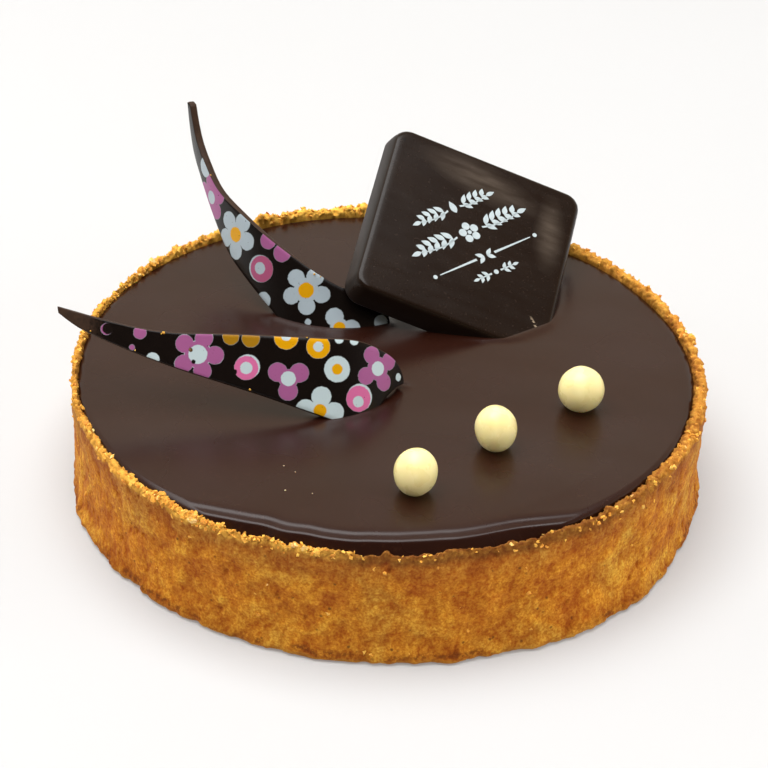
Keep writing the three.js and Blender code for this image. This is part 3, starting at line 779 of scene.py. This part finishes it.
# Painted shade: the pinhole is a near black dot, the shade inside a hole that the mesh doesn't have.
pinhole_shade = patch_at(-12.1, 11.4, 0.24, 0.24, 0, 0.7)
fleck = node(tree, "MapRange", [speckle, 0.64, 0.72, 0, 0.07])
spans = node(tree, "SeparateXYZ", [("VectorMath ABSOLUTE", [face])]).outputs
# Painted shade: the plaque's sloped sides are painted a little darker, for the shade that falls on them.
shaded_sides = node(tree, "MapRange", [("Math MAXIMUM", [spans["X"], spans["Y"]]), 13, 13.3])
tone = node(tree, "Mix RGBA", [("MapRange", [cloud, 0.42, 0.7, 0, 0.35]), "#1E120A", "#2A1C12"])
for cover, over in ((bloom_and_sheen, "#5C5045"), (scuff, "#9A8872"), (pinhole_shade, "#050302"), (fleck, "#7A655A"),
                    (shaded_sides, "#1C110A")):
    tone = node(tree, "Mix RGBA", [cover, tone, over])
gloss = node(tree, "Mix", [shaded_sides, ("MapRange", [streaks, 0.3, 0.7, 0.2, 0.27]), 0.45])
waves = node(tree, "TexNoise", [where, 90, 1])
bumps = node(tree, "Bump", {"Strength": 0.3, "Distance": 0.0003, "Height": waves})
node(tree, "OutputMaterial", [("BsdfPrincipled", {
    "Base Color": tone, "Roughness": gloss, "Specular IOR Level": 0.3, "Normal": bumps})])
plaque = put("plaque_tablet", plaque_mesh, moulded)
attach(plaque, "root")
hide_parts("plaque")


# The plaque's print: white cocoa butter laid on the moulded face in a thin coat, as rows of plain leafy
# sprigs, a small flower, a fine rule and dots, slanted from the lower left corner to the upper right.
PRINT_COAT = 0.045
slant = math.atan2(0.73, 0.68)
prints = []


def stroke(start, end, wide_start, wide_end, bow=0.0, steps=14):
    """A fine bowed line that tapers, as the outline of one shape in mm."""
    upper_side, lower_side = [], []
    across = (Vector(end) - Vector(start)).orthogonal().normalized()
    for k in range(steps + 1):
        t = k / steps
        middle = Vector(start).lerp(Vector(end), t) + across * bow * 4 * t * (1 - t)
        half = (wide_start * (1 - t) + wide_end * t) / 2
        upper_side.append(tuple(middle + across * half))
        lower_side.append(tuple(middle - across * half))
    prints.append(upper_side + lower_side[::-1])


def leaf(root, heading, length, width, steps=9):
    """A pointed leaf from its root along a heading in degrees, as the outline of one shape in mm."""
    way = Vector((math.cos(math.radians(heading)), math.sin(math.radians(heading))))
    aside = Vector((-way.y, way.x))
    shares = [k / steps for k in range(steps + 1)]
    half = [width / 2 * math.sin(math.pi * t ** 0.8) for t in shares]
    left_side = [tuple(Vector(root) + way * length * t + aside * h) for t, h in zip(shares, half)]
    right_side = [tuple(Vector(root) + way * length * t - aside * h) for t, h in zip(shares, half)]
    prints.append(left_side + right_side[-2:0:-1])


def spot(centre, radius, steps=22):
    """A round dot, as the outline of one shape in mm."""
    turns = [math.tau * k / steps for k in range(steps)]
    prints.append([(centre[0] + radius * math.cos(turn), centre[1] + radius * math.sin(turn)) for turn in turns])


def sprig(y, reach, leaves, size, bow, clear):
    """Two leafy stems that run out from the middle of a row, one the mirror of the other."""
    for side in (-1, 1):
        stroke((side * clear, y), (side * reach, y), 0.26, 0.12, bow * -side)
        for k in range(leaves):
            t = (k + 0.6) / (leaves + 0.4)
            x = clear + (reach - clear) * t
            stem_y = y + bow * 4 * t * (1 - t)
            for turn in (48, -48):
                heading = turn if side > 0 else 180 - turn
                leaf((side * x, stem_y), heading, size * (1.1 - 0.35 * t), size * 0.46)
        leaf((side * (reach - 0.1), y), 0 if side > 0 else 180, size * 0.95, size * 0.42)


sprig(4.9, 5.6, 4, 1.45, 0.35, 1.0)
leaf((0, 4.2), 90, 1.9, 0.95)
sprig(1.0, 8.2, 5, 1.65, 0.45, 2.1)
for k in range(5):
    turn = math.radians(90 + 72 * k)
    spot((0.98 * math.cos(turn), 1.0 + 0.98 * math.sin(turn)), 0.56)
spot((0, 1.0), 0.3)
for side in (-1, 1):
    stroke((side * 1.5, -2.9), (side * 7.6, -2.9), 0.34, 0.14)
    spot((side * 8.4, -2.9), 0.3)
    leaf((side * 0.25, -2.9), 35 if side > 0 else 145, 1.3, 0.6)
    leaf((side * 0.25, -2.9), -35 if side > 0 else -145, 1.3, 0.6)
sprig(-5.5, 2.9, 2, 1.05, 0.0, 0.75)
spot((0, -5.5), 0.34)
points, faces = [], []
for outline in prints:
    first, count = len(points), len(outline)
    for height in (-0.02, PRINT_COAT):
        points += [(0.3 + x * math.cos(slant) - y * math.sin(slant),
                    0.3 + x * math.sin(slant) + y * math.cos(slant), height) for x, y in outline]
    low, high = list(range(first, first + count)), list(range(first + count, first + 2 * count))
    area = sum(a[0] * b[1] - b[0] * a[1] for a, b in zip(outline, outline[1:] + outline[:1]))
    if area < 0:
        low, high = low[::-1], high[::-1]
    faces += [low[::-1], high] + [[low[k], low[(k + 1) % count], high[(k + 1) % count], high[k]] for k in range(count)]
print_mesh = bpy.data.meshes.new("plaque_print")
print_mesh.from_pydata([tuple(Vector(point) * MM) for point in points], [], faces)
print_mesh.transform(plaque_stance)
# White cocoa butter: an opaque, slightly blue white, thin and satin, a little uneven where it was laid.
cocoa_white, tree, where = finish_named("white_cocoa_butter_print")
patchy = node(tree, "TexNoise", [where, 1800, 2])
tone = node(tree, "Mix RGBA", [patchy, "#B4C2C8", "#D6E2E4"])
node(tree, "OutputMaterial", [("BsdfPrincipled", {"Base Color": tone, "Roughness": 0.4})])
plaque_print = put("plaque_print", print_mesh, cocoa_white)
print_mesh.shade_flat()
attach(plaque_print, "root")


# The pearls: three crisp balls glazed with white chocolate, each tumbled a little out of round and
# pressed lightly into the set ganache.
PEARLS = {
    "pearl_front": ((3.5, -26.85), (5.2, 5.4, 5.9), 8),
    "pearl_middle": ((13.1, -16.95), (5.1, 5.4, 5.85), -7),
    "pearl_right": ((23.8, -7.6), (5.7, 5.6, 5.8), 12),
}
# White chocolate glaze: cream yellow, tumbled to a soft shine, and letting a little light in.
glaze, tree, where = finish_named("tumbled_white_chocolate")
cloud = node(tree, "TexNoise", [where, 420, 3])
tone = node(tree, "Mix RGBA", [cloud, "#E4D490", "#E9DBA2"])
gloss = node(tree, "MapRange", [cloud, 0.3, 0.7, 0.22, 0.34])
waves = node(tree, "TexNoise", [where, 330, 1])
bumps = node(tree, "Bump", {"Strength": 0.25, "Distance": 0.0002, "Height": waves})
node(tree, "OutputMaterial", [("BsdfPrincipled", {
    "Base Color": tone, "Roughness": gloss, "Normal": bumps, "Subsurface Weight": 0.4,
    "Subsurface Radius": (1, 0.8, 0.35), "Subsurface Scale": 0.0025})])
for number, (name, ((x, y), (wide, deep, tall), lean)) in enumerate(PEARLS.items()):
    angle_of = math.atan2(y, x)
    floor_height = ganache_height(angle_of, float(ganache_radius(angle_of)) - math.hypot(x, y))
    middle = Vector((x, y, float(floor_height) + tall / 2 - 0.3))
    turned = Matrix.Rotation(math.radians(lean), 3, "Y")
    rings, steps = [], 64
    for row in range(1, steps // 2):
        polar = math.pi * row / (steps // 2)
        ring = []
        for turn in (math.tau * k / steps for k in range(steps)):
            way = Vector((math.sin(polar) * math.cos(turn), math.sin(polar) * math.sin(turn), math.cos(polar)))
            lump = 1 + 0.018 * noise.noise(way * 1.7 + Vector((7.3 * number, 1.1, 4.2)))
            point = turned @ Vector((way.x * wide / 2, way.y * deep / 2, way.z * tall / 2)) * lump
            ring.append(tuple(middle + point))
        rings.append(ring)
    ball = put(name + "_ball", skin(name + "_ball", rings), glaze)
    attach(ball, "root")
    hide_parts(name)
    by_the_table.objects.link(ball)


# The ganache: dark chocolate and cream, poured warm to the brim and left to set, so it lies level,
# rounds over at its edge and creeps up a little where the toppings were pushed in.
GANACHE_STEPS = 600
angle = np.linspace(0, math.tau, GANACHE_STEPS, endpoint=False)
edge = ganache_radius(angle) + 0.1
inward_rows = np.concatenate([np.arange(0, 4.4, 0.08), np.linspace(4.4, 37.4, 90)])
# The front edge's slope in degrees at each distance in from it: a low swell, then the steep roll.
ROLL = [(0, 50), (1, 52), (1.3, 56), (1.65, 56), (1.8, 45), (1.92, 28), (2.0, 12), (2.2, 5), (2.6, 5), (2.9, 10),
        (3.0, 15.5), (3.12, 16), (3.25, 11.5), (3.55, 4), (4.4, 0)]
roll_in = np.linspace(0, 4.4, 221)
slope = np.tan(np.radians(np.interp(roll_in, *zip(*ROLL))))
roll_height = np.append(0, np.cumsum((slope[1:] + slope[:-1]) / 2 * np.diff(roll_in)))
roll_height -= roll_height[-1]
roll_wander = unevenness(21, 90)(angle)


def poured_height(angle, inward):
    """The ganache's height, with the roll of its front edge, where it stood proud of the case."""
    front = smoothstep(front_share(angle), 0.5, 0.88)
    along_roll = inward + 3.8 * (1 - front) + 0.16 * roll_wander
    rolled = ganache_height(angle, 5.0) + np.interp(along_roll, roll_in, roll_height)
    return np.minimum(ganache_height(angle, inward), rolled)


settled = []
for name in ("blade_front", "blade_rear", "plaque", "pearl_front", "pearl_middle", "pearl_right"):
    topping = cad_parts[name].data
    settled.append(([tuple(v.co / MM) for v in topping.vertices], [tuple(p.vertices) for p in topping.polygons]))
points, faces = [], []
for corners, sides in settled:
    faces += [tuple(i + len(points) for i in side) for side in sides]
    points += corners
toppings = BVHTree.FromPolygons(points, faces)
rings = [np.stack([37.2 * np.cos(angle), 37.2 * np.sin(angle), 2.9 + 0 * angle], 1),
         np.stack([edge * np.cos(angle), edge * np.sin(angle), ganache_height(angle, 0.0) - 2.5], 1)]
for inward in inward_rows:
    radius = edge - inward
    x, y = radius * np.cos(angle), radius * np.sin(angle)
    level = poured_height(angle, inward)
    calm = min(1, inward / 2)
    ripples = np.array([noise.noise((float(a) / 9, float(b) / 9, 3.1)) for a, b in zip(x, y)])
    level = level + 0.045 * ripples * calm
    for k, (a, b, z) in enumerate(zip(x, y, level)):
        near = toppings.find_nearest((float(a), float(b), float(z)), 3.0)
        if near[0] is not None:
            level[k] += 0.13 * math.exp(-((near[3] / 0.6) ** 2)) * calm
    rings.append(np.stack([x, y, level], 1))
ganache_mesh = skin("ganache_fill", rings)

# Set ganache: a smooth, dark, slightly greasy shine, with the faintest ripple from setting and a
# few specks of undissolved cocoa. It mirrors the pale room softly.
ganache_finish, tree, where = finish_named("poured_dark_ganache")
cloud = node(tree, "TexNoise", [where, 70, 3])
tone = node(tree, "Mix RGBA", [cloud, "#2A120A", "#30150C"])
speckle = node(tree, "TexNoise", [where, 1900, 2])
fleck = node(tree, "MapRange", [speckle, 0.6, 0.75, 0, 0.25])
tone = node(tree, "Mix RGBA", [fleck, tone, "#4A2A1C"])
gloss = node(tree, "MapRange", [cloud, 0.3, 0.7, 0.22, 0.3])
waves = node(tree, "TexNoise", [where, 210, 2])
bumps = node(tree, "Bump", {"Strength": 0.12, "Distance": 0.00015, "Height": waves})
node(tree, "OutputMaterial", [("BsdfPrincipled", {
    "Base Color": tone, "Roughness": gloss, "Normal": bumps, "Specular IOR Level": 0.43})])
ganache = put("ganache_fill", ganache_mesh, ganache_finish)
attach(ganache, "root")
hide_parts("ganache")


# Stray bits: crumbs and chips of chocolate that stuck to the blades' cut edges as they were broken off
# the sheet, and four pale specks on the ganache. (flat place on the blade, radius in mm)
strays = []
for name, marks in {
    "blade_front": [((-5.5, 5.05), 0.17), ((-5.75, 4.9), 0.11), ((-14.4, 5.0), 0.1), ((-8.9, 2.8), 0.1),
                    ((5.2, -1.6), 0.13), ((11.9, 4.95), 0.08)],
    "blade_rear": [((1.3, 7.7), 0.12), ((13.9, 23.6), 0.1), ((0.6, 7.2), 0.08)],
}.items():
    flat = np.array([place for place, girth in marks])
    middles = curled(BLADES[name], curl_tables(BLADES[name]), flat, BLADE_THICKNESS / 2)
    strays += [(Vector(middle), girth) for middle, (place, girth) in zip(middles, marks)]
for x, y, girth in ((-12.1, -22.7, 0.08), (-10.7, -23.9, 0.06), (-8.5, -28.2, 0.06), (-11.7, -27.7, 0.09)):
    strays.append((Vector((x, y, float(ganache_height(math.atan2(y, x), 8.0)) + 0.03)), girth))
bits = bmesh.new()
for k, (middle, girth) in enumerate(strays):
    made = bmesh.ops.create_icosphere(bits, subdivisions=2, radius=1.0)
    for corner in made["verts"]:
        knob = 1 + 0.7 * noise.noise(corner.co * 1.4 + Vector((9.0 * k, 2.5, 0.0)))
        corner.co = (middle + corner.co * girth * knob) * MM
stray_mesh = bpy.data.meshes.new("stray_crumbs")
bits.to_mesh(stray_mesh)
bits.free()
tones = [1.5 if middle.z < 15.9 and girth < 0.13 else 0.7 for middle, girth in strays]
store(stray_mesh, "shade", np.repeat(tones, len(stray_mesh.vertices) // len(strays)))
stray_crumbs = put("stray_crumbs", stray_mesh, crumb_crust)
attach(stray_crumbs, "root")
